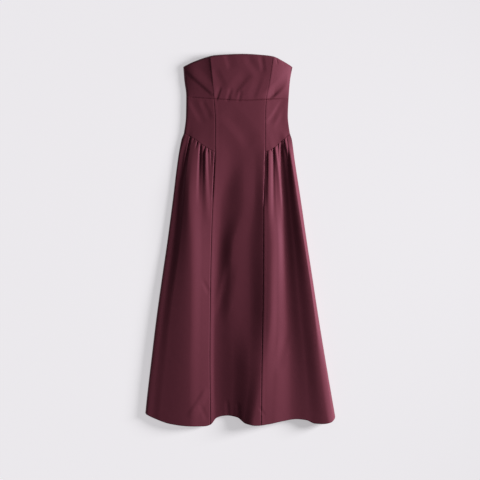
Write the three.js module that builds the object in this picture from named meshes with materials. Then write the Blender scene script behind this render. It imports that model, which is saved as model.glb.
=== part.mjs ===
import * as THREE from "three";

// A strapless, ankle-length dress in satin-faced crepe, laid face up on a table. Millimetres.
// +X is to the right as the front is looked at, +Y goes to the neckline and +Z up from the table.
// The front is one draped surface, cut by its seams into panels, and the back lies flat under it.

const CLOTH = 1.5; // wall of each panel
const SEAM_GAP = 0.3; // between two panels at their seam
const SIDE_SEAM = 3; // height of the front's middle where it meets the back at the side seam
const MOST_LIFT = 2.2; // a wall on a slope is at most this much taller than a level one

// The flat garment's side seams, a row for each height.
const outline = [
  { name: "front hem", y: -600, left: -326, right: 324.5 },
  { name: "hem curve", y: -545, left: -320.5, right: 315 },
  { name: "calf", y: -408, left: -304.5, right: 291.5 },
  { name: "knee", y: -271, left: -288, right: 269 },
  { name: "thigh", y: -134, left: -269, right: 248 },
  { name: "mid thigh", y: 3, left: -249, right: 227 },
  { name: "hip", y: 140, left: -231, right: 207 },
  { name: "high hip", y: 277, left: -214, right: 186 },
  { name: "under the basque seam", y: 345, left: -202, right: 177 },
  { name: "basque seam", y: 373, left: -192.5, right: 169 },
  { name: "waist", y: 428, left: -186, right: 163 },
  { name: "underbust", y: 496, left: -185, right: 166 },
  { name: "bust", y: 551, left: -191.5, right: 170.5 },
  { name: "underarm", y: 595, left: -195, right: 178.5 },
];

// Seams that run down the front, from the hem to the top edge.
const princessLeft = [
  { y: -632, x: -103 },
  { y: -400, x: -105 },
  { y: -157, x: -103 },
  { y: 60, x: -98 },
  { y: 223, x: -89.5 },
  { y: 406, x: -86 },
  { y: 485, x: -91 },
  { y: 636, x: -106 },
];
const princessRight = [
  { y: -632, x: 70 },
  { y: -462, x: 72 },
  { y: -144, x: 78 },
  { y: 222, x: 79.5 },
  { y: 312, x: 84.5 },
  { y: 433, x: 85 },
  { y: 484, x: 88 },
  { y: 539, x: 98 },
  { y: 636, x: 112 },
];

// Seams and edges that run across, from left to right.
const topEdge = [
  { x: -195, y: 595 },
  { x: -160, y: 611 },
  { x: -106, y: 628 },
  { x: -83, y: 632 },
  { x: 9, y: 636 },
  { x: 81, y: 632 },
  { x: 110, y: 628 },
  { x: 150, y: 611 },
  { x: 178, y: 595 },
];
const underbustSeam = [
  { x: -180, y: 492 },
  { x: -91, y: 485 },
  { x: 4, y: 480 },
  { x: 88, y: 484 },
  { x: 166, y: 489 },
];
const basqueLeft = [
  { x: -193, y: 370 },
  { x: -152, y: 347 },
  { x: -123, y: 325 },
  { x: -88, y: 305 },
];
const basqueRight = [
  { x: 85, y: 305 },
  { x: 107, y: 314 },
  { x: 150, y: 350 },
  { x: 170, y: 367 },
];
const frontHem = [
  { x: -325, y: -590 },
  { x: -299, y: -603 },
  { x: -236, y: -624 },
  { x: -175, y: -631 },
  { x: -122, y: -632 },
  { x: -102, y: -627 },
  { x: -82, y: -605 },
  { x: -63, y: -598 },
  { x: -42, y: -596 },
  { x: -11, y: -601 },
  { x: 19, y: -621 },
  { x: 54, y: -627 },
  { x: 100, y: -622 },
  { x: 142, y: -614 },
  { x: 194, y: -607 },
  { x: 225, y: -610 },
  { x: 254, y: -621 },
  { x: 278, y: -622 },
  { x: 306, y: -618 },
  { x: 325, y: -606 },
];
const backTopEdge = [
  { x: -195, y: 594 },
  { x: 178, y: 594 },
];
const backWaistSeam = [
  { x: -193, y: 369 },
  { x: -10, y: 352 },
  { x: 170, y: 366 },
];
const backHem = [
  { x: -325, y: -583 },
  { x: -190, y: -591 },
  { x: 0, y: -594 },
  { x: 190, y: -591 },
  { x: 325, y: -585 },
];

// The front's long folds, from left to right: how far across each line lies, and how high the
// cloth stands on it, at eight levels from below the hem to the bust.
const levels = [-640, -440, -240, -30, 140, 280, 400, 560];
const folds = [
  { name: "left roll",
    x: [-318, -300, -276, -246, -223, -206, -181, -185],
    z: [12, 12, 10.5, 9, 8, 6, 5, 8] },
  { name: "left shelf",
    x: [-304, -282, -261, -231, -211, -198, -172, -177],
    z: [14, 15, 14, 11, 9.5, 7.5, 7, 9] },
  { name: "left rise",
    x: [-280, -256, -235, -206, -189, -181, -158, -162],
    z: [17, 19, 20, 20, 18, 13, 9.5, 10.5] },
  { name: "first crest",
    x: [-172, -174, -170, -168, -172, -165, -128, -135],
    z: [23, 25, 26, 25.5, 23, 16, 12.5, 12.5] },
  { name: "first crest, right",
    x: [-135, -135, -132, -130, -132, -126, -106, -115],
    z: [18, 19, 18, 16, 15, 14.5, 14, 14] },
  { name: "left seam",
    x: [-103, -105, -104, -100, -95, -88, -86, -98],
    z: [12.5, 13, 11.5, 9.5, 10.5, 14.5, 15, 15] },
  { name: "first trough",
    x: [-70, -76, -74, -68, -60, -30, -60, -60],
    z: [5, 6, 5, 4, 6, 11.5, 15.5, 15.5] },
  { name: "centre rise",
    x: [-25, -20, -30, -25, 15, 15, -28, -28],
    z: [12, 16, 13, 15, 15.5, 13.5, 16, 16] },
  { name: "centre shelf",
    x: [8, 25, 28, 28, 45, 48, 16, 16],
    z: [24, 27, 18.5, 18, 16.5, 14.5, 16.3, 16.3] },
  { name: "second crest", x: [42, 75, 101, 103, 91, 84, 60, 60], z: [34, 37, 35, 31, 23.5, 17, 16, 16] },
  { name: "second crest, right",
    x: [110, 120, 130, 128, 119, 112, 84, 90],
    z: [26, 29, 28, 24, 18, 15.5, 15, 15] },
  { name: "second trough",
    x: [178, 172, 157, 151, 147, 145, 108, 112],
    z: [16, 18, 18, 13.5, 10, 10.5, 13, 13] },
  { name: "third rise",
    x: [235, 222, 200, 182, 167, 157, 128, 130],
    z: [22, 25.5, 29, 24.5, 16.5, 11.5, 11, 10.5] },
  { name: "third crest",
    x: [288, 268, 247, 216, 190, 168, 143, 150],
    z: [27, 32, 35.5, 31, 22, 13, 8.5, 7] },
  { name: "right roll", x: [310, 285, 257, 226, 201, 179, 156, 162], z: [18, 20, 19, 17, 12, 8, 5.5, 4.5] },
];

// Gathers under the basque seam. A row runs from its start at the seam to where it dies out, is as
// wide there as it says to each side, and goes down by its depth. A negative depth is a small ridge.
// bow is how far its middle leans to the right.
const gathers = [
  { from: [-171, 358], to: [-206, 110], width: [7, 12], depth: 6, bow: -5 },
  { from: [-150, 341], to: [-156, 316], width: [6, 6], depth: 2.5, bow: 0 },
  { from: [-159, 310], to: [-165, 60], width: [8, 12], depth: -2, bow: 0 },
  { from: [-133, 328], to: [-141, 50], width: [7, 11], depth: 5, bow: -5 },
  { from: [-121, 318], to: [-117, 90], width: [7, 9], depth: -2, bow: 0 },
  { from: [-111, 316], to: [-113, 297], width: [6, 6], depth: 2, bow: 0 },
  { from: [-101, 310], to: [-98, 262], width: [6, 6], depth: 3, bow: 0 },
  { from: [88, 305], to: [81, 150], width: [6, 7], depth: 4, bow: 0 },
  { from: [100, 309], to: [97, 110], width: [7, 9], depth: -2.5, bow: 0 },
  { from: [112, 318], to: [120, 130], width: [6, 9], depth: 3.5, bow: 0 },
  { from: [123, 326], to: [143, 90], width: [7, 7], depth: -2.5, bow: 4 },
  { from: [144, 338], to: [156, 110], width: [7, 12], depth: 6, bow: -2 },
  { from: [158, 353], to: [164, 240], width: [6, 8], depth: 5, bow: 3 },
];

// The bust stands above the waist by this much at shares of the way from its seam to its top edge,
// and by these parts of that at the left side, the left seam, the middle, the right seam and the
// right side.
const bust = {
  share: [0, 0.03, 0.3, 0.65, 1],
  rise: [0, 1.6, 9, 15, 15],
  across: [0, 0.32, 0.8, 1, 0],
};

// The back skirt's folds, a row for each one of a panel, from the centre back seam to the side.
// across is the share of the panel's width, and each fold stands up from the table into the skirt.
const backFolds = [
  { across: 0.14, width: 0.07, atWaist: 3.2, atHem: 0 },
  { across: 0.32, width: 0.09, atWaist: 3.6, atHem: 3.2 },
  { across: 0.5, width: 0.07, atWaist: 3, atHem: 0 },
  { across: 0.68, width: 0.09, atWaist: 3.4, atHem: 3.6 },
  { across: 0.85, width: 0.06, atWaist: 2.4, atHem: 0 },
];

const column = (rows, key) => rows.map((row) => row[key]);
const mix = (a, b, share) => a + (b - a) * share;
const clamp = (value) => Math.min(1, Math.max(0, value));

// A smooth curve through points that never swings past them: it is level at each crest and hollow.
// endSlope turns the curve's ends steeper than a straight line there, for a rounded edge.
function curve(at, values, where, endSlope = 1) {
  const last = at.length - 1;
  if (where <= at[0]) return values[0];
  if (where >= at[last]) return values[last];
  const i = at.findIndex((next, k) => k > 0 && where <= next) - 1;
  const slope = (k) => (values[k + 1] - values[k]) / (at[k + 1] - at[k]);
  const bend = (k) => {
    if (k === 0) return endSlope * slope(0);
    if (k === last) return endSlope * slope(last - 1);
    const before = slope(k - 1);
    const after = slope(k);
    return before * after <= 0 ? 0 : (2 * before * after) / (before + after);
  };
  const span = at[i + 1] - at[i];
  const t = (where - at[i]) / span;
  const start = (1 + 2 * t) * (1 - t) ** 2 * values[i] + t * (1 - t) ** 2 * span * bend(i);
  return start + t * t * (3 - 2 * t) * values[i + 1] - t * t * (1 - t) * span * bend(i + 1);
}

const lineDown = (rows, key = "x") => (y) => curve(column(rows, "y"), column(rows, key), y);
const lineAcross = (rows) => (x) => curve(column(rows, "x"), column(rows, "y"), x);
const sideLeft = lineDown(outline, "left");
const sideRight = lineDown(outline, "right");
const seamLeft = lineDown(princessLeft);
const seamRight = lineDown(princessRight);
const underbust = lineAcross(underbustSeam);
const neckline = lineAcross(topEdge);
const backWaist = lineAcross(backWaistSeam);
const hemOfBack = lineAcross(backHem);
const centreBack = (y) => (sideLeft(y) + sideRight(y)) / 2;

function foldedHeight(x, y) {
  const at = [sideLeft(y), ...folds.map((fold) => curve(levels, fold.x, y)), sideRight(y)];
  const heights = [SIDE_SEAM, ...folds.map((fold) => curve(levels, fold.z, y)), SIDE_SEAM];
  return curve(at, heights, x, 2);
}

function bustRise(x, y) {
  const foot = underbust(x);
  const rise = curve(bust.share, bust.rise, (y - foot) / (neckline(x) - foot));
  return rise * curve([sideLeft(y), seamLeft(y), 0, seamRight(y), sideRight(y)], bust.across, x);
}

function gatherDepth(x, y) {
  let total = 0;
  for (const { from, to, width, depth, bow } of gathers) {
    const run = [to[0] - from[0], to[1] - from[1]];
    const along = ((x - from[0]) * run[0] + (y - from[1]) * run[1]) / (run[0] ** 2 + run[1] ** 2);
    const t = clamp(along);
    const aside = 4 * bow * t * (1 - t);
    const away = Math.hypot(x - from[0] - t * run[0] - aside, y - from[1] - t * run[1]);
    const near = away / mix(...width, t);
    if (near < 1) total += depth * Math.cos((near * Math.PI) / 2) ** 2 * curve([0, 0.2, 1], [0.5, 1, 0], t);
  }
  return total;
}

const bodiceHeight = (x, y) => foldedHeight(x, y) + bustRise(x, y);
const gatheredHeight = (x, y) => foldedHeight(x, y) - gatherDepth(x, y);

// The back lies flat, and its folds stand up only as far as the room under the front lets them.
function backHeight(x, y) {
  const middle = centreBack(y);
  const across = x < middle ? (middle - x) / (middle - sideLeft(y)) : (x - middle) / (sideRight(y) - middle);
  const down = clamp((backWaist(x) - y) / (backWaist(x) - hemOfBack(x)));
  const room = clamp((foldedHeight(x, y) - SIDE_SEAM) / 10 - 0.2);
  let height = CLOTH / 2;
  for (const fold of backFolds) {
    const away = Math.abs(across - fold.across) / fold.width;
    if (away < 1) height += room * mix(fold.atWaist, fold.atHem, down) * Math.cos((away * Math.PI) / 2) ** 2;
  }
  return height;
}
const flatHeight = () => CLOTH / 2;

const half = SEAM_GAP / 2;
const onBack = CLOTH + SEAM_GAP;
const shifted = (line, by) => (t) => line(t) + by;

// A panel between two lines down and two lines across, as one closed wall over its height function.
function panel(name, shape) {
  const { left, right, bottom, top, height, rest, columns, rows, material } = shape;
  const upper = [];
  const lower = [];
  for (let j = 0; j <= rows; j += 1) {
    for (let i = 0; i <= columns; i += 1) {
      let x = mix(left(0), right(0), i / columns);
      let y = 0;
      for (let pass = 0; pass < 12; pass += 1) {
        y = mix(bottom(x), top(x), j / rows);
        x = mix(left(y), right(y), i / columns);
      }
      const z = height(x, y);
      const slopeAcross = height(x + 0.5, y) - height(x - 0.5, y);
      const slopeDown = height(x, y + 0.5) - height(x, y - 0.5);
      const lift = (CLOTH / 2) * Math.min(MOST_LIFT, Math.hypot(1, slopeAcross, slopeDown));
      const underside = Math.max(rest, z - lift);
      lower.push(x, y, underside);
      upper.push(x, y, Math.max(z + lift, underside + CLOTH));
    }
  }
  const geometry = new THREE.BufferGeometry();
  geometry.setAttribute("position", new THREE.Float32BufferAttribute([...upper, ...lower], 3));
  geometry.setIndex(wallFaces(columns, rows));
  geometry.computeVertexNormals();
  const mesh = new THREE.Mesh(geometry, material);
  mesh.name = name;
  return mesh;
}

// Triangles of a wall whose upper grid comes first and whose lower grid follows.
function wallFaces(columns, rows) {
  const across = columns + 1;
  const under = across * (rows + 1);
  const faces = [];
  for (let j = 0; j < rows; j += 1) {
    for (let i = 0; i < columns; i += 1) {
      const a = j * across + i;
      const [b, c, d] = [a + 1, a + across + 1, a + across];
      faces.push(a, b, c, a, c, d);
      faces.push(a + under, c + under, b + under, a + under, d + under, c + under);
    }
  }
  const rim = [];
  for (let i = 0; i < columns; i += 1) rim.push(i);
  for (let j = 0; j < rows; j += 1) rim.push(j * across + columns);
  for (let i = columns; i > 0; i -= 1) rim.push(rows * across + i);
  for (let j = rows; j > 0; j -= 1) rim.push(j * across);
  rim.forEach((a, k) => {
    const b = rim[(k + 1) % rim.length];
    faces.push(a, a + under, b + under, a, b + under, b);
  });
  return faces;
}

const crepe = () => new THREE.MeshStandardMaterial({ color: 0x5f2d37, roughness: 0.55, metalness: 0 });
const dress = new THREE.Group();
dress.name = "strapless_dress";

dress.add(
  panel("bust_centre", {
    left: shifted(seamLeft, half),
    right: shifted(seamRight, -half),
    bottom: shifted(underbust, half),
    top: neckline,
    height: bodiceHeight,
    rest: onBack,
    columns: 12,
    rows: 9,
    material: crepe(),
  }),
  panel("centre_front", {
    left: shifted(seamLeft, half),
    right: shifted(seamRight, -half),
    bottom: lineAcross(frontHem),
    top: shifted(underbust, -half),
    height: foldedHeight,
    rest: onBack,
    columns: 24,
    rows: 34,
    material: crepe(),
  }),
);

const sides = [
  { side: "left", outer: sideLeft, inner: shifted(seamLeft, -half), basque: lineAcross(basqueLeft) },
  { side: "right", outer: sideRight, inner: shifted(seamRight, half), basque: lineAcross(basqueRight) },
];

for (const { side, outer, inner, basque } of sides) {
  const frontEdges = side === "left" ? { left: outer, right: inner } : { left: inner, right: outer };
  const fromCentre = shifted(centreBack, side === "left" ? -half : half);
  const backEdges = side === "left" ? { left: outer, right: fromCentre } : { left: fromCentre, right: outer };
  dress.add(
    panel(`bust_side_${side}`, {
      ...frontEdges,
      bottom: shifted(underbust, half),
      top: neckline,
      height: bodiceHeight,
      rest: onBack,
      columns: 11,
      rows: 9,
      material: crepe(),
    }),
    panel(`waist_side_${side}`, {
      ...frontEdges,
      bottom: shifted(basque, half),
      top: shifted(underbust, -half),
      height: foldedHeight,
      rest: onBack,
      columns: 10,
      rows: 7,
      material: crepe(),
    }),
    panel(`skirt_side_${side}`, {
      ...frontEdges,
      bottom: lineAcross(frontHem),
      top: shifted(basque, -half),
      height: gatheredHeight,
      rest: onBack,
      columns: 24,
      rows: 32,
      material: crepe(),
    }),
    panel(`back_bodice_${side}`, {
      ...backEdges,
      bottom: shifted(backWaist, half),
      top: lineAcross(backTopEdge),
      height: flatHeight,
      rest: 0,
      columns: 3,
      rows: 5,
      material: crepe(),
    }),
    panel(`back_skirt_${side}`, {
      ...backEdges,
      bottom: hemOfBack,
      top: shifted(backWaist, -half),
      height: backHeight,
      rest: 0,
      columns: 28,
      rows: 9,
      material: crepe(),
    }),
  );
}

export default dress;
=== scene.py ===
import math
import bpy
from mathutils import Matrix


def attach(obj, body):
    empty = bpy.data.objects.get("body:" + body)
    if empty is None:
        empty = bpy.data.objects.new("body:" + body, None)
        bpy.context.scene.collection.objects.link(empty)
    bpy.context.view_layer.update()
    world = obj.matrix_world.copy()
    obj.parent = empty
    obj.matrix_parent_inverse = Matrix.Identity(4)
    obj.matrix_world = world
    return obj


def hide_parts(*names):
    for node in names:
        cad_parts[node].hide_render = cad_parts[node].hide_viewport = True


bl_info = {
    "name": "Strapless Dress, Laid Flat",
    "version": (1, 0, 0),
    "blender": (4, 5, 0),
    "location": "3D View > Sidebar > Dress",
    "description": "Dresses a packed strapless dress in satin-faced crepe, lights it and frames it",
    "category": "Object",
}

import bmesh
import bpy
import numpy as np
from bpy.props import FloatProperty, PointerProperty, StringProperty

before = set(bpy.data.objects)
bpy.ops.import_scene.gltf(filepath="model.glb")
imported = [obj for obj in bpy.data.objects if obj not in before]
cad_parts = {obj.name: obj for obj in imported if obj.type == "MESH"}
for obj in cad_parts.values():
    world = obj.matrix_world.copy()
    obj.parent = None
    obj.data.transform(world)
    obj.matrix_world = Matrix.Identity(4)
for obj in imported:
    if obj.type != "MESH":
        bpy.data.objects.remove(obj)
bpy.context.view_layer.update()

MM = 0.001
BODY = "root"
LEFT, RIGHT = "left", "right"

# The camera takes in a square of the table: how many pixels wide it is, and how many millimetres each.
PIXELS = 480
PIXEL = 3.43
PICTURE_WIDTH = PIXELS * PIXEL * MM
PICTURE_CENTRE = (-1 * MM, 2.7 * MM)


def table(names, *rows):
    """Named columns of a table that is written row by row."""
    return dict(zip(names.split(), np.array(rows, float).T))


# Lines of the flat garment, in millimetres.
OUTLINE = table(
    "y left right",
    (-600, -326, 324.5),
    (-545, -320.5, 315),
    (-408, -304.5, 291.5),
    (-271, -288, 269),
    (-134, -269, 248),
    (3, -249, 227),
    (140, -231, 207),
    (277, -214, 186),
    (345, -202, 177),
    (373, -192.5, 169),
    (428, -186, 163),
    (496, -185, 166),
    (551, -191.5, 170.5),
    (595, -195, 178.5),
)
PRINCESS_LEFT = table(
    "y x",
    (-632, -103),
    (-400, -105),
    (-157, -103),
    (60, -98),
    (223, -89.5),
    (406, -86),
    (485, -91),
    (636, -106),
)
PRINCESS_RIGHT = table(
    "y x",
    (-632, 70),
    (-462, 72),
    (-144, 78),
    (222, 79.5),
    (312, 84.5),
    (433, 85),
    (484, 88),
    (539, 98),
    (636, 112),
)
TOP_EDGE = table(
    "x y",
    (-195, 595),
    (-160, 611),
    (-106, 628),
    (-83, 632),
    (9, 636),
    (81, 632),
    (110, 628),
    (150, 611),
    (178, 595),
)
UNDERBUST = table("x y", (-180, 492), (-91, 485), (4, 480), (88, 484), (166, 489))
BASQUE_LEFT = table("x y", (-193, 370), (-152, 347), (-123, 325), (-88, 305))
BASQUE_RIGHT = table("x y", (85, 305), (107, 314), (150, 350), (170, 367))
FRONT_HEM = table(
    "x y",
    (-325, -590),
    (-299, -603),
    (-236, -624),
    (-175, -631),
    (-122, -632),
    (-102, -627),
    (-82, -605),
    (-63, -598),
    (-42, -596),
    (-11, -601),
    (19, -621),
    (54, -627),
    (100, -622),
    (142, -614),
    (194, -607),
    (225, -610),
    (254, -621),
    (278, -622),
    (306, -618),
    (325, -606),
)
BACK_TOP_EDGE = table("x y", (-195, 594), (178, 594))
BACK_WAIST = table("x y", (-193, 369), (-10, 352), (170, 366))
BACK_HEM = table("x y", (-325, -583), (-190, -591), (0, -594), (190, -591), (325, -585))

# The front's long folds: how far across each lies, and how high, at eight levels up the dress.
LEVELS = np.array([-640, -440, -240, -30, 140, 280, 400, 560], float)
FOLDS = {
    "left roll": (
        (-322, -304.5, -280, -250, -227, -209.5, -184, -188),
        (14, 13.5, 12.5, 10, 9, 8, 9, 9.5),
    ),
    "left shelf": (
        (-304, -282, -261, -231, -211, -198, -172, -177),
        (14.5, 15.5, 14.5, 11.5, 10, 8.5, 10, 10.5),
    ),
    "left rise": (
        (-280, -256, -235, -206, -189, -181, -158, -162),
        (17, 19, 20, 20, 19.5, 14, 11, 11.5),
    ),
    "first crest": (
        (-172, -174, -170, -169, -173, -161, -128, -135),
        (23, 25, 26, 25.5, 22.8, 16.2, 12.6, 12.8),
    ),
    "first crest, right": (
        (-135, -135, -132, -130, -132, -126, -106, -115),
        (18, 19, 18, 16, 15, 14.5, 13.7, 14),
    ),
    "left seam": (
        (-103, -105, -104, -100, -95, -88, -86, -98),
        (12.5, 13.5, 12, 9.5, 10.5, 14.5, 14.8, 15),
    ),
    "first trough": (
        (-80, -87, -84, -72, -60, -30, -60, -60),
        (9, 10, 8.5, 4.5, 6, 11.5, 15.3, 15.3),
    ),
    "centre rise": (
        (-28, -25, -32, -25, 15, 15, -28, -28),
        (13.5, 18, 15, 15, 15.5, 13.5, 15.6, 15.6),
    ),
    "centre shelf": (
        (8, 30, 30, 28, 45, 48, 16, 16),
        (25, 30.5, 20.5, 18, 16.5, 14.5, 15.4, 15.4),
    ),
    "second crest": (
        (42, 75, 101, 103, 91, 84, 60, 60),
        (34, 37, 34.5, 30.5, 23.5, 17, 14.8, 14.8),
    ),
    "second crest, right": (
        (110, 120, 127, 128, 119, 112, 84, 90),
        (27.5, 29, 28, 25, 18, 14.5, 13.6, 13.6),
    ),
    "second trough": (
        (178, 172, 160, 153, 148, 145, 108, 112),
        (18, 19.5, 20, 15.5, 10, 8, 10.2, 10),
    ),
    "third rise": (
        (235, 222, 202, 184, 168, 158, 128, 130),
        (22, 25.5, 27.5, 23, 15, 9.5, 6.8, 7),
    ),
    "third crest": (
        (300, 270, 250, 220, 194, 173, 143, 150),
        (29, 33.5, 36.5, 32.5, 23, 15, 4.2, 4.5),
    ),
    "right roll": (
        (318, 290, 258.5, 227.5, 203, 182, 156, 162),
        (23, 27.5, 29, 25, 16, 10, 2.8, 2.8),
    ),
}

# Soft creases that a hand would feel: where each starts and ends, its half width there, how deep it
# is (a ridge has a negative depth), how far it bows to its left, how round its bottom is, and how far
# it leans: its left flank grows wider by that share and its right flank narrower.
CREASE_NAMES = "x0 y0 x1 y1 width0 width1 depth bow round lean"
GATHERS = table(
    CREASE_NAMES,
    (-170, 358, -204, 110, 5, 11, 5, -5, 0.6, 0),
    (-158, 350, -162, 334, 3, 4, 1.5, 0, 0.5, 0),
    (-147, 339, -154, 312, 4, 5, 2.5, 0, 0.5, 0.3),
    (-136, 330, -140, 110, 6, 14, 3.6, -3, 0.8, 0.1),
    (-121, 321, -127, 276, 4, 6, 2, 0, 0.7, 0),
    (-118, 312, -111, 50, 8, 20, -3.8, -3, 1, 0),
    (-110, 315, -113, 294, 3, 4, 2, 0, 0.5, 0),
    (-99, 309, -99, 250, 4, 6, 1.8, 0, 0.7, 0),
    (97, 308, 97, 60, 9, 16, -2.4, 0, 1, 0.3),
    (104, 313, 109, 298, 3, 4, 2, 0, 0.5, 0),
    (112, 318, 114, 50, 6, 13, 2.6, 0, 0.8, 0),
    (120, 324, 140, 40, 7, 14, -3.3, 5, 1, -0.3),
    (129, 330, 130, 306, 3, 4, 2, 0, 0.5, 0),
    (138, 335, 147, 110, 8, 18, 4.5, -3, 0.7, 0.55),
    (149, 346, 153, 322, 3, 5, 2, 0, 0.6, 0),
    (152, 345, 160, 290, 5, 7, -1.2, 0, 1, 0),
    (158, 353, 165, 240, 4, 8, 2.2, 3, 0.6, 0.3),
)
WRINKLES = table(
    CREASE_NAMES,
    (-194, 594, -78, 490, 26, 22, -2.1, 0, 1, 0.45),
    (188, 590, 84, 480, 22, 20, 4.6, 9, 1, -0.35),
    (-28, 490, 34, 570, 26, 26, 1.6, 6, 1, 0.3),
    (18, 634, 84, 556, 20, 26, 1.3, -5, 1, 0),
    (-50, 650, -30, 580, 22, 24, 1.2, 0, 1, 0.3),
    (-92, 590, -56, 515, 20, 24, 1.1, 0, 1, 0),
    (-84, 474, -66, 528, 10, 12, 1.2, 0, 1, 0.3),
    (-46, 472, -30, 524, 10, 12, 1.1, 0, 1, 0),
    (-8, 470, 2, 516, 9, 10, 0.9, 0, 1, -0.3),
    (70, 636, 80, 570, 14, 14, 1.2, 0, 1, 0),
    (38, 478, 70, 562, 20, 22, 1.0, 0, 1, 0.2),
    (122, 624, 128, 600, 4, 5, 1.2, 0, 0.8, 0),
    (145, 612, 154, 592, 4, 5, 1.2, 0, 0.8, 0),
    (-176, 490, -122, 400, 20, 26, 1.2, 0, 1, 0.2),
    (-134, 486, -100, 410, 15, 18, 0.9, 0, 1, 0),
    (150, 492, 92, 396, 14, 18, 1.7, 3, 1, 0.2),
    (170, 470, 122, 380, 12, 16, 1.0, 0, 1, 0),
    (-60, 440, 40, 320, 40, 44, 1.6, 8, 1, 0.2),
    (-132, -128, -104, -184, 11, 12, 0.8, 0, 1, 0),
    (-112, -500, -176, -604, 17, 24, -1.5, 0, 1, 0.3),
    (-138, -556, -112, -616, 12, 15, 0.7, 0, 1, 0),
    (62, -560, 84, -596, 9, 9, 0.6, 0, 1, 0),
    (-46, -540, -41, -610, 11, 12, 0.7, 0, 1, 0),
    (-8, -548, -4, -616, 11, 12, 0.7, 0, 1, 0),
    (-34, -70, -88, -280, 26, 32, 1.5, 6, 1, 0.2),
    (156, -300, 126, -450, 20, 24, 1.1, 0, 1, 0),
    (-86.5, 322, -98, 120, 4, 3.5, 1.8, 0, 0.5, 0.7),
    (85, 322, 79, 110, 7, 8, 2.4, 0, 0.6, 0.8),
)
BACK_FOLDS = table(
    "across width waist hem",
    (0.14, 0.07, 3.2, 0),
    (0.32, 0.09, 3.6, 3.2),
    (0.50, 0.07, 3.0, 0),
    (0.68, 0.09, 3.4, 3.6),
    (0.85, 0.06, 2.4, 0),
)
NO_ROOM = 3.4  # where the front's height is less, the back's folds have no room
FULL_ROOM = 13.4  # where it is more, they stand up in full

# How deep a crease is along its way, as shares of its length and of its depth.
GATHER_SWELL = ((0, 0.06, 0.5, 1), (0.4, 1, 0.65, 0))
WRINKLE_SWELL = ((0, 0.3, 0.7, 1), (0, 1, 1, 0))

SIDE_SEAM = 1.4  # height of the front's middle where it is sewn to the back
SIDE_ROLL = 5.0  # the least width of the roll at a side
LOWEST = 2.4  # the gathers reach down to this height at most

# The band's facets from left to right: the line and how far from it each corner lies, and how high.
BAND = (
    ("left side", 0, SIDE_SEAM),
    ("left side", 7, 10),
    ("left seam", -4, 22.4),
    ("left seam", 4, 24.6),
    ("middle", -20, 26),
    ("middle", 45, 26),
    ("right seam", -4, 25.4),
    ("right seam", 3, 25.6),
    ("right seam", 9, 24.6),
    ("right side", 0, SIDE_SEAM),
)
# How far up the band, as a share, its facets take over from the ribs below.
BAND_SHARE = table("share full", (0, 0), (0.02, 0.12), (0.3, 0.62), (0.65, 0.98), (1, 1))
RIM = 6.0  # how far down the top edge rolls over, and by how much
ROLLED_CLOTH = 13.0  # above this height it rolls over in full

# Across a seam that runs down: its ditch, and the ridge of its allowance on its right.
SEAM_SECTION = table("away height", (-3, 0), (0, -0.32), (2.8, 0.3), (14, 0))
SEAM_PULL = table("y pull", (0, 1.8), (200, 1.1), (480, 1), (500, 0.55))  # how much of both shows
BASQUE_DITCH = 1.3  # how far the gathers start below the edge of the waist
BASQUE_WIDTH = 5.0
GROOVE = 2.7  # how deep the seam under the bust lies
GROOVE_WIDTH = 3.0  # on each side of its line
GROOVE_END = 22.0  # how far from the sides it has that depth
LOW_CLOTH = 3.0  # below this height no small form shows
FREE_CLOTH = 9.0  # above it all of it shows

SHELL = 0.9  # thickness of the cloth with what is turned in behind it
TURN = 1.2  # radius of a turned edge
LEAST_TURN = 0.15  # where the cloth lies too low for that
UNDER_TURN = 2.2  # what such an edge leaves free under it
CLOSER = 0.5  # how much closer a panel's points are at its seams
ROUNDS = 12  # how often a panel's points are set between its four lines

CREPE_NAME = "Satin-faced crepe, wine"
PEBBLE = 1.1  # a pebble's size: real ones are half as coarse, and too fine to show
PEBBLE_DEPTH = 0.08
SLACK = 38.0  # size of the cloth's faint unevenness
SLACK_DEPTH = 0.35
PEBBLE_RANGE = {"From Min": 0.3, "From Max": 0.7}  # the noise from a pebble's foot to its top

TABLE_REACH = 6.0  # how far the table reaches from its middle, in metres
TABLE_DROP = 0.3  # how far it lies under the dress
GLOW_EVEN = 1.25  # the table's glow makes up for the lamp as far as this from its middle, in metres
GLOW_END = 2.4  # and from here on no more


def curve(at, values, where, end_slope=1.0):
    """A smooth curve through points, level at each crest and hollow, that never swings past them.

    End_slope is how steep its two ends are, as a share of the straight line there."""
    where = np.asarray(where, float)
    at = np.broadcast_to(at, (*where.shape, np.shape(at)[-1]))
    values = np.broadcast_to(values, at.shape)
    slope = np.diff(values) / np.diff(at)
    before, after = slope[..., :-1], slope[..., 1:]
    level = before * after <= 0
    inner = np.where(level, 0.0, 2 * before * after / np.where(level, 1.0, before + after))
    bend = np.concatenate([end_slope * slope[..., :1], inner, end_slope * slope[..., -1:]], axis=-1)
    inside = np.clip(where, at[..., 0], at[..., -1])
    low = np.clip((at <= inside[..., None]).sum(-1) - 1, 0, at.shape[-1] - 2)[..., None]

    def pick(rows, step=0):
        return np.take_along_axis(rows, low + step, -1)[..., 0]

    span = pick(at, 1) - pick(at)
    t = (inside - pick(at)) / span
    start = (1 + 2 * t) * (1 - t) ** 2 * pick(values) + t * (1 - t) ** 2 * span * pick(bend)
    return start + t * t * (3 - 2 * t) * pick(values, 1) - t * t * (1 - t) * span * pick(bend, 1)


def side_left(y):
    return curve(OUTLINE["y"], OUTLINE["left"], y)


def side_right(y):
    return curve(OUTLINE["y"], OUTLINE["right"], y)


def seam_left(y):
    return curve(PRINCESS_LEFT["y"], PRINCESS_LEFT["x"], y)


def seam_right(y):
    return curve(PRINCESS_RIGHT["y"], PRINCESS_RIGHT["x"], y)


def centre_back(y):
    return (side_left(y) + side_right(y)) / 2


def across(line):
    """The line's height on the page as a function of how far across."""
    return lambda x: curve(line["x"], line["y"], x)


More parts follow.
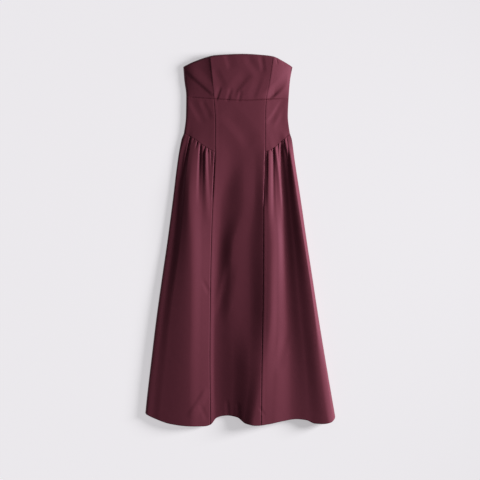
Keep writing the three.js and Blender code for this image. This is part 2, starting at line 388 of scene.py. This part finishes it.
def creased(creases, x, y, swell):
    """How deep the creases are at each point. Swell gives a crease's depth along its way."""
    total = np.zeros_like(x)
    for x0, y0, x1, y1, width0, width1, depth, bow, roundness, lean in zip(*creases.values()):
        run_x, run_y = x1 - x0, y1 - y0
        length = math.hypot(run_x, run_y)
        t = np.clip(((x - x0) * run_x + (y - y0) * run_y) / length**2, 0, 1)
        aside = 4 * bow * t * (1 - t) / length
        off_x = x - x0 - t * run_x + aside * run_y
        off_y = y - y0 - t * run_y - aside * run_x
        flank = 1 + lean * np.tanh((run_x * off_y - run_y * off_x) / length)
        d = np.clip(np.hypot(off_x, off_y) / (width0 + (width1 - width0) * t) / flank, 0, 1)
        form = (1 - d) ** 2 * (1 + 2 * d * roundness)
        total += depth * form * curve(*swell, t)
    return total


def seam_relief(away, y):
    """A seam's ditch, and the ridge of its allowance on its right. It pulls deeper down the skirt."""
    pulled = curve(SEAM_PULL["y"], SEAM_PULL["pull"], y)
    return pulled * curve(SEAM_SECTION["away"], SEAM_SECTION["height"], away, end_slope=0)


def long_folds(x, y):
    """Height of the front with its long folds alone."""
    left, right = side_left(y), side_right(y)
    at = [left]
    heights = [np.full_like(y, SIDE_SEAM)]
    for places, tops in FOLDS.values():
        at.append(np.clip(curve(LEVELS, places, y), left + SIDE_ROLL, right - SIDE_ROLL))
        heights.append(curve(LEVELS, tops, y))
    at.append(right)
    heights.append(np.full_like(y, SIDE_SEAM))
    return curve(np.stack(at, -1), np.stack(heights, -1), x, end_slope=2.0)


def small_relief(x, y, height):
    """The wrinkles and the seams, which fade where the cloth lies low."""
    seams = seam_relief(x - seam_left(y), y) + seam_relief(x - seam_right(y), y)
    groove = GROOVE * np.clip(1 - np.abs(y - across(UNDERBUST)(x)) / GROOVE_WIDTH, 0, 1) ** 2
    groove *= np.clip(np.minimum(x - side_left(y), side_right(y) - x) / GROOVE_END, 0, 1)
    room = np.clip((height - LOW_CLOTH) / (FREE_CLOTH - LOW_CLOTH), 0, 1)
    return seams - (groove + creased(WRINKLES, x, y, WRINKLE_SWELL)) * room


def folded(x, y):
    """Height of the front below the bust."""
    height = long_folds(x, y)
    return height + small_relief(x, y, height)


def bodice_height(x, y):
    """Height of the band, which has flat facets, stands over the ribs and rolls down at its top."""
    foot, top = across(UNDERBUST)(x), across(TOP_EDGE)(x)
    full = curve(BAND_SHARE["share"], BAND_SHARE["full"], (y - foot) / (top - foot))
    lines = {
        "left side": side_left(y),
        "left seam": seam_left(y),
        "middle": np.zeros_like(y),
        "right seam": seam_right(y),
        "right side": side_right(y),
    }
    corners = np.stack([lines[line] + off for line, off, _ in BAND], -1)
    band = curve(corners, [height for _, _, height in BAND], x, end_slope=1.6)
    ribs = long_folds(x, y)
    height = ribs + (band - ribs) * full + small_relief(x, y, ribs)
    rolled = np.clip(1 - (top - y) / RIM, 0, 1) ** 2
    return height - RIM * rolled * np.clip((height - LOW_CLOTH) / (ROLLED_CLOTH - LOW_CLOTH), 0, 1)


def skirt_height(x, y):
    """Height of the side skirts, which start a little below the waist's edge and are gathered there."""
    gathers = creased(GATHERS, x, y, GATHER_SWELL)
    basque = np.where(x < 0, across(BASQUE_LEFT)(x), across(BASQUE_RIGHT)(x))
    under = np.clip(1 - (basque - y) / BASQUE_WIDTH, 0, 1)
    return np.maximum(folded(x, y) - gathers - BASQUE_DITCH * under**2, LOWEST)


def back_height(x, y):
    """The back lies on the table, and its folds stand up only where the front leaves room."""
    middle, left, right = centre_back(y), side_left(y), side_right(y)
    share = np.where(x < middle, (middle - x) / (middle - left), (x - middle) / (right - middle))
    waist, hem = across(BACK_WAIST)(x), across(BACK_HEM)(x)
    down = np.clip((waist - y) / (waist - hem), 0, 1)
    room = np.clip((long_folds(x, y) - NO_ROOM) / (FULL_ROOM - NO_ROOM), 0, 1)
    height = np.full_like(x, SHELL / 2)
    for place, width, at_waist, at_hem in zip(*BACK_FOLDS.values()):
        away = np.clip(np.abs(share - place) / width, 0, 1)
        height += room * (at_waist + (at_hem - at_waist) * down) * np.cos(away * math.pi / 2) ** 2
    return height


def flat_height(x, y):
    """The back bodice lies flat on the table."""
    return np.full_like(x, SHELL / 2)


def spread(count):
    """Shares from 0 to 1 that lie closer together at both ends."""
    even = np.linspace(0, 1, count + 1)
    return even - CLOSER * np.sin(2 * math.pi * even) / (2 * math.pi)


def panel_points(spec, columns, rows):
    """A panel's grid of points, closer at its seams, from the bottom edge up and from left to right."""
    u, v = spread(columns)[None, :], spread(rows)[:, None]
    level = np.zeros((rows + 1, 1))
    x = spec["left"](level) * (1 - u) + spec["right"](level) * u
    for _ in range(ROUNDS):
        y = spec["bottom"](x) * (1 - v) + spec["top"](x) * v
        x = spec["left"](y) * (1 - u) + spec["right"](y) * u
    return x, y


def turned_rows(x, y, spec, outward):
    """Rows of points that turn an edge over and run it back inside, between the panel's sides."""
    rows = []
    height, inside = spec["height"], spec["inside"]
    share = (x - spec["left"](y)) / (spec["right"](y) - spec["left"](y))
    level = height(x, y)
    radius = np.full_like(x, TURN)
    if inside < 0:
        radius = np.clip((level - UNDER_TURN) / 2, LEAST_TURN, TURN)
    for angle in np.radians((45, 90, 135, 180)):
        over = radius * math.sin(angle)
        rows.append((x, y + outward * over, level + inside * radius * (1 - math.cos(angle))))
    turned_in = bpy.context.scene.dress_sizes.turned_in / MM
    for back in (turned_in / 2, turned_in):
        y_in = y - outward * back
        x_in = spec["left"](y_in) * (1 - share) + spec["right"](y_in) * share
        rows.append((x_in, y_in, height(x_in, y_in) + inside * 2 * radius))
    return rows


def shell(name, spec, faces, material):
    """One panel of cloth: a grid laid on its height function, with its free edges turned in."""
    columns, rows = faces
    x, y = panel_points(spec, columns, rows)
    layers = [(x[k], y[k], spec["height"](x[k], y[k])) for k in range(rows + 1)]
    if "hem" in spec["free"]:
        layers = turned_rows(x[0], y[0], spec, -1)[::-1] + layers
    if "top" in spec["free"]:
        layers += turned_rows(x[-1], y[-1], spec, 1)
    points = np.array([np.stack(layer, -1) for layer in layers])

    mesh = bpy.data.meshes.new(name)
    bm = bmesh.new()
    bmesh.ops.create_grid(bm, x_segments=columns, y_segments=len(layers) - 1, size=1)
    for edge in bm.edges:
        edge.smooth = not edge.is_boundary
    for face in bm.faces:
        face.smooth = True
    bm.to_mesh(mesh)
    bm.free()
    mesh.vertices.foreach_set("co", (points * MM).ravel())

    along = np.linalg.norm(np.diff(points, axis=0, prepend=points[:1]), axis=-1).cumsum(0)
    aside = np.linalg.norm(np.diff(points, axis=1, prepend=points[:, :1]), axis=-1).cumsum(1)
    woven = (np.stack([aside, along], -1) * MM).reshape(-1, 2)
    corners = np.zeros(len(mesh.loops), int)
    mesh.loops.foreach_get("vertex_index", corners)
    mesh.uv_layers.new(name="weave").data.foreach_set("uv", woven[corners].ravel())
    mesh.update()

    piece = bpy.data.objects.new(name, mesh)
    bpy.context.collection.objects.link(piece)
    thick = piece.modifiers.new("Cloth", "SOLIDIFY")
    thick.thickness = bpy.context.scene.dress_sizes.cloth
    thick.offset = 0.0
    piece.data.materials.append(material)
    return piece


def linear(hex_colour):
    """An sRGB hex colour as linear light."""
    channels = (int(hex_colour[i : i + 2], 16) / 255 for i in (1, 3, 5))
    return (*(c / 12.92 if c <= 0.04045 else ((c + 0.055) / 1.055) ** 2.4 for c in channels), 1.0)


def add_node(tree, kind, settings=(), links=()):
    """Adds a node. Settings are its properties and input values, and links where its inputs come from."""
    node = tree.nodes.new(kind)
    for key, value in dict(settings).items():
        if isinstance(key, str) and key not in node.inputs:
            setattr(node, key, value)
        else:
            node.inputs[key].default_value = value
    for key, source in dict(links).items():
        tree.links.new(source, node.inputs[key])
    return node


# Polyester yarns, twisted hard, and woven so that they float on the face. The twist pebbles the cloth,
# which breaks up its highlights, and the floats give it a soft lustre with no sharp shine.
def satin_crepe(colour):
    material = bpy.data.materials.new(CREPE_NAME)
    material.use_nodes = True
    tree = material.node_tree
    tree.nodes.clear()
    place = add_node(tree, "ShaderNodeTexCoord").outputs["Object"]
    pebbles = add_node(
        tree,
        "ShaderNodeTexNoise",
        {"Scale": 1 / (PEBBLE * MM), "Detail": 2.0},
        {"Vector": place},
    )
    slack = add_node(
        tree,
        "ShaderNodeTexNoise",
        {"Scale": 1 / (SLACK * MM), "Detail": 1.5},
        {"Vector": place},
    )
    uneven = add_node(
        tree,
        "ShaderNodeBump",
        {"Distance": SLACK_DEPTH * MM, "Strength": 1.0},
        {"Height": slack.outputs["Fac"]},
    )
    grained = add_node(
        tree,
        "ShaderNodeBump",
        {"Distance": PEBBLE_DEPTH * MM, "Strength": 0.5},
        {"Height": pebbles.outputs["Fac"], "Normal": uneven.outputs["Normal"]},
    )
    tint = add_node(
        tree,
        "ShaderNodeMapRange",
        {**PEBBLE_RANGE, "To Min": 0.9, "To Max": 1.1},
        {"Value": pebbles.outputs["Fac"]},
    )
    shade = add_node(
        tree,
        "ShaderNodeVectorMath",
        {"operation": "SCALE", 0: linear(colour)[:3]},
        {"Scale": tint.outputs["Result"]},
    )
    lustre = add_node(
        tree,
        "ShaderNodeMapRange",
        {**PEBBLE_RANGE, "To Min": 0.58, "To Max": 0.66},
        {"Value": pebbles.outputs["Fac"]},
    )
    cloth = add_node(
        tree,
        "ShaderNodeBsdfPrincipled",
        {"IOR": 1.4, "Specular IOR Level": 0.3, "Specular Tint": (1.0, 0.45, 0.7, 1.0)},
        {
            "Base Color": shade.outputs["Vector"],
            "Roughness": lustre.outputs["Result"],
            "Normal": grained.outputs["Normal"],
        },
    )
    add_node(tree, "ShaderNodeOutputMaterial", {}, {"Surface": cloth.outputs["BSDF"]})
    return material


# Board with matt paint rolled on, which is even and has no shine. On the table the lamp's light falls
# off with about the cube of its distance, and the board glows to make up for part of that. This glow is
# painted light, which the dress does not shade, so it also lightens the dress's shadow on the table.
def painted_board(colour, stage):
    paint = bpy.data.materials.new("Painted board, pale grey")
    paint.use_nodes = True
    tree = paint.node_tree
    board = tree.nodes["Principled BSDF"]
    board.inputs["Base Color"].default_value = linear(colour)
    board.inputs["Roughness"].default_value = 0.9
    board.inputs["Specular IOR Level"].default_value = 0.1
    board.inputs["Emission Color"].default_value = linear(colour)
    place = add_node(tree, "ShaderNodeTexCoord").outputs["Object"]
    away = add_node(
        tree,
        "ShaderNodeVectorMath",
        {"operation": "DISTANCE", 1: lamp_place(stage)},
        {0: place},
    )
    near = add_node(
        tree,
        "ShaderNodeMath",
        {"operation": "DIVIDE", 0: stage.key_distance},
        {1: away.outputs["Value"]},
    )
    cubed = add_node(tree, "ShaderNodeMath", {"operation": "POWER", 1: 3}, {0: near.outputs["Value"]})
    short = add_node(tree, "ShaderNodeMath", {"operation": "SUBTRACT", 0: 1}, {1: cubed.outputs["Value"]})
    from_middle = add_node(tree, "ShaderNodeVectorMath", {"operation": "LENGTH"}, {0: place})
    made_up = add_node(
        tree,
        "ShaderNodeMapRange",
        {"From Min": GLOW_EVEN, "From Max": GLOW_END, "To Min": stage.even, "To Max": 0.0},
        {"Value": from_middle.outputs["Value"]},
    )
    # painted light: the board's glow, which the dress's shadow does not darken
    glow = add_node(
        tree,
        "ShaderNodeMath",
        {"operation": "MULTIPLY_ADD", 2: stage.glow},
        {0: short.outputs["Value"], 1: made_up.outputs["Result"]},
    )
    tree.links.new(glow.outputs["Value"], board.inputs["Emission Strength"])
    return paint


class DressSizes(bpy.types.PropertyGroup):
    """Sizes that a user would change."""

    cloth: FloatProperty(
        name="Cloth thickness",
        description="The cloth with what is turned in behind it",
        default=SHELL * MM,
        unit="LENGTH",
    )
    turned_in: FloatProperty(
        name="Turned in",
        description="How far the top edge and the hem run back inside",
        default=14 * MM,
        unit="LENGTH",
    )


class DressColours(bpy.types.PropertyGroup):
    """Colours that a user would change."""

    cloth: StringProperty(name="Cloth", description="Wine cloth, sRGB hex", default="#622E3A")
    floor: StringProperty(name="Floor", description="Pale table, sRGB hex", default="#BDBBBE")


class DressStage(bpy.types.PropertyGroup):
    """The stage that a user would change."""

    camera_height: FloatProperty(
        name="Camera height",
        description="Above the table",
        default=3.3,
        unit="LENGTH",
    )
    key: FloatProperty(
        name="Key light",
        description="Power of the lamp at the right",
        default=228.0,
        unit="POWER",
    )
    key_size: FloatProperty(
        name="Key size",
        description="Width of the lamp",
        default=1.0,
        unit="LENGTH",
    )
    key_distance: FloatProperty(
        name="Key distance",
        description="From the middle of the table",
        default=3.2,
        unit="LENGTH",
    )
    key_rise: FloatProperty(
        name="Key rise",
        description="Angle above the table",
        default=math.radians(18),
        unit="ROTATION",
    )
    key_turn: FloatProperty(
        name="Key turn",
        description="Angle round from the right",
        default=math.radians(8),
        unit="ROTATION",
    )
    fill: FloatProperty(
        name="Fill light",
        description="Strength of the light all round",
        default=0.12,
    )
    # painted light: the table's glow, which the dress does not shade
    glow: FloatProperty(
        name="Table glow",
        description="Light of the table's own",
        default=0.85,
    )
    even: FloatProperty(
        name="Table evenness",
        description="How far the glow makes up for the lamp",
        default=0.64,
    )


# How many faces a panel has across and along.
FACES = {
    "bust_centre": (110, 60),
    "bust_side": (60, 60),
    "centre_front": (110, 300),
    "waist_side": (56, 70),
    "skirt_side": (120, 260),
    "back_bodice": (30, 40),
    "back_skirt": (80, 120),
}


def panel_spec(side, top, bottom, height, free="", back=False):
    """The lines and the height function of one panel. A side of None is a centre panel."""
    if side is None:
        lines = (seam_left, seam_right)
    elif back:
        lines = (side_left, centre_back) if side == LEFT else (centre_back, side_right)
    else:
        lines = (side_left, seam_left) if side == LEFT else (seam_right, side_right)
    return {
        "left": lines[0],
        "right": lines[1],
        "top": across(top),
        "bottom": across(bottom),
        "height": height,
        "free": free,
        "inside": 1 if back else -1,
    }


def crepe():
    """The one cloth that every panel is cut from."""
    return bpy.data.materials.get(CREPE_NAME) or satin_crepe(bpy.context.scene.dress_colours.cloth)


def cloth_panel(node, spec, faces):
    """Makes one panel's cloth, hangs it on the body and hides the part it stands for."""
    piece = shell(f"{node}_cloth", spec, faces, crepe())
    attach(piece, BODY)
    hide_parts(node)


class DRESS_OT_bust_band(bpy.types.Operator):
    """The bust band's middle and its two sides"""

    bl_idname = "dress.bust_band"
    bl_label = "Bust Band"

    def execute(self, context):
        middle = panel_spec(None, TOP_EDGE, UNDERBUST, bodice_height, "top")
        cloth_panel("bust_centre", middle, FACES["bust_centre"])
        for side in (LEFT, RIGHT):
            spec = panel_spec(side, TOP_EDGE, UNDERBUST, bodice_height, "top")
            cloth_panel(f"bust_side_{side}", spec, FACES["bust_side"])
        return {"FINISHED"}


class DRESS_OT_centre_front(bpy.types.Operator):
    """The long centre panel, from the underbust seam to the hem"""

    bl_idname = "dress.centre_front"
    bl_label = "Centre Front"

    def execute(self, context):
        spec = panel_spec(None, UNDERBUST, FRONT_HEM, folded, "hem")
        cloth_panel("centre_front", spec, FACES["centre_front"])
        return {"FINISHED"}


class DRESS_OT_waist_sides(bpy.types.Operator):
    """The two side fronts, from the underbust seam to the slanting basque seam"""

    bl_idname = "dress.waist_sides"
    bl_label = "Waist Sides"

    def execute(self, context):
        for side, basque in ((LEFT, BASQUE_LEFT), (RIGHT, BASQUE_RIGHT)):
            spec = panel_spec(side, UNDERBUST, basque, folded)
            cloth_panel(f"waist_side_{side}", spec, FACES["waist_side"])
        return {"FINISHED"}


class DRESS_OT_side_skirts(bpy.types.Operator):
    """The two gathered side skirts"""

    bl_idname = "dress.side_skirts"
    bl_label = "Side Skirts"

    def execute(self, context):
        for side, basque in ((LEFT, BASQUE_LEFT), (RIGHT, BASQUE_RIGHT)):
            spec = panel_spec(side, basque, FRONT_HEM, skirt_height, "hem")
            cloth_panel(f"skirt_side_{side}", spec, FACES["skirt_side"])
        return {"FINISHED"}


class DRESS_OT_back(bpy.types.Operator):
    """The back bodice and the gathered back skirt, which lie on the table"""

    bl_idname = "dress.back"
    bl_label = "Back"

    def execute(self, context):
        for side in (LEFT, RIGHT):
            bodice = panel_spec(side, BACK_TOP_EDGE, BACK_WAIST, flat_height, "top", back=True)
            cloth_panel(f"back_bodice_{side}", bodice, FACES["back_bodice"])
            skirt = panel_spec(side, BACK_WAIST, BACK_HEM, back_height, "hem", back=True)
            cloth_panel(f"back_skirt_{side}", skirt, FACES["back_skirt"])
        return {"FINISHED"}


def lamp_place(stage):
    """Where the lamp hangs, low over the table at the right."""
    level = stage.key_distance * math.cos(stage.key_rise)
    return (
        level * math.cos(stage.key_turn),
        level * math.sin(stage.key_turn),
        stage.key_distance * math.sin(stage.key_rise),
    )


def lay_table(colour, stage):
    """The pale table that the dress lies on."""
    mesh = bpy.data.meshes.new("table_top")
    bm = bmesh.new()
    bmesh.ops.create_grid(bm, x_segments=1, y_segments=1, size=TABLE_REACH)
    bmesh.ops.translate(bm, verts=bm.verts, vec=(0, 0, -TABLE_DROP * MM))
    bm.to_mesh(mesh)
    bm.free()
    mesh.materials.append(painted_board(colour, stage))
    table_top = bpy.data.objects.new("table_top", mesh)
    bpy.context.collection.objects.link(table_top)


def hang_lamp(stage):
    """One round lamp, which rakes across the folds."""
    lamp = bpy.data.lights.new("key", "AREA")
    lamp.shape = "DISK"
    lamp.size = stage.key_size
    lamp.energy = stage.key
    key = bpy.data.objects.new("key", lamp)
    key.location = lamp_place(stage)
    key.rotation_euler = (0, math.pi / 2 - stage.key_rise, stage.key_turn)
    bpy.context.collection.objects.link(key)


def light_all_round(stage):
    """Soft white light from everywhere, which opens up the shadows."""
    world = bpy.data.worlds.new("studio")
    world.use_nodes = True
    sky = world.node_tree.nodes["Background"]
    sky.inputs["Color"].default_value = (1, 1, 1, 1)
    sky.inputs["Strength"].default_value = stage.fill
    bpy.context.scene.world = world
    bpy.context.scene.view_settings.view_transform = "Standard"


def set_camera(stage):
    """A camera straight above, with the picture's width just filled."""
    lens = bpy.data.cameras.new("camera")
    lens.sensor_width = 36.0
    lens.lens = lens.sensor_width * stage.camera_height / PICTURE_WIDTH
    camera = bpy.data.objects.new("camera", lens)
    camera.location = (*PICTURE_CENTRE, stage.camera_height)
    bpy.context.collection.objects.link(camera)
    bpy.context.scene.camera = camera


class DRESS_OT_stage(bpy.types.Operator):
    """A pale table, a lamp low at the right, soft light all round and a camera straight above"""

    bl_idname = "dress.stage"
    bl_label = "Stage"

    def execute(self, context):
        stage = context.scene.dress_stage
        lay_table(context.scene.dress_colours.floor, stage)
        hang_lamp(stage)
        light_all_round(stage)
        set_camera(stage)
        return {"FINISHED"}


class DRESS_PT_sidebar(bpy.types.Panel):
    """Lists the dress's pieces and settings"""

    bl_idname = "DRESS_PT_sidebar"
    bl_label = "Strapless Dress"
    bl_space_type = "VIEW_3D"
    bl_region_type = "UI"
    bl_category = "Dress"

    def draw(self, context):
        for operator in OPERATORS:
            self.layout.operator(operator.bl_idname)
        for group in (context.scene.dress_sizes, context.scene.dress_colours, context.scene.dress_stage):
            for name in group.bl_rna.properties.keys():
                if name not in ("rna_type", "name"):
                    self.layout.prop(group, name)


OPERATORS = (
    DRESS_OT_bust_band,
    DRESS_OT_centre_front,
    DRESS_OT_waist_sides,
    DRESS_OT_side_skirts,
    DRESS_OT_back,
    DRESS_OT_stage,
)
CLASSES = (DressSizes, DressColours, DressStage, *OPERATORS, DRESS_PT_sidebar)


def register():
    for cls in CLASSES:
        bpy.utils.register_class(cls)
    bpy.types.Scene.dress_sizes = PointerProperty(type=DressSizes)
    bpy.types.Scene.dress_colours = PointerProperty(type=DressColours)
    bpy.types.Scene.dress_stage = PointerProperty(type=DressStage)


def unregister():
    del bpy.types.Scene.dress_stage
    del bpy.types.Scene.dress_colours
    del bpy.types.Scene.dress_sizes
    for cls in reversed(CLASSES):
        bpy.utils.unregister_class(cls)


def main():
    register()
    bpy.ops.dress.stage()
    bpy.ops.dress.bust_band()
    bpy.ops.dress.centre_front()
    bpy.ops.dress.waist_sides()
    bpy.ops.dress.side_skirts()
    bpy.ops.dress.back()


if __name__ == "__main__":
    main()
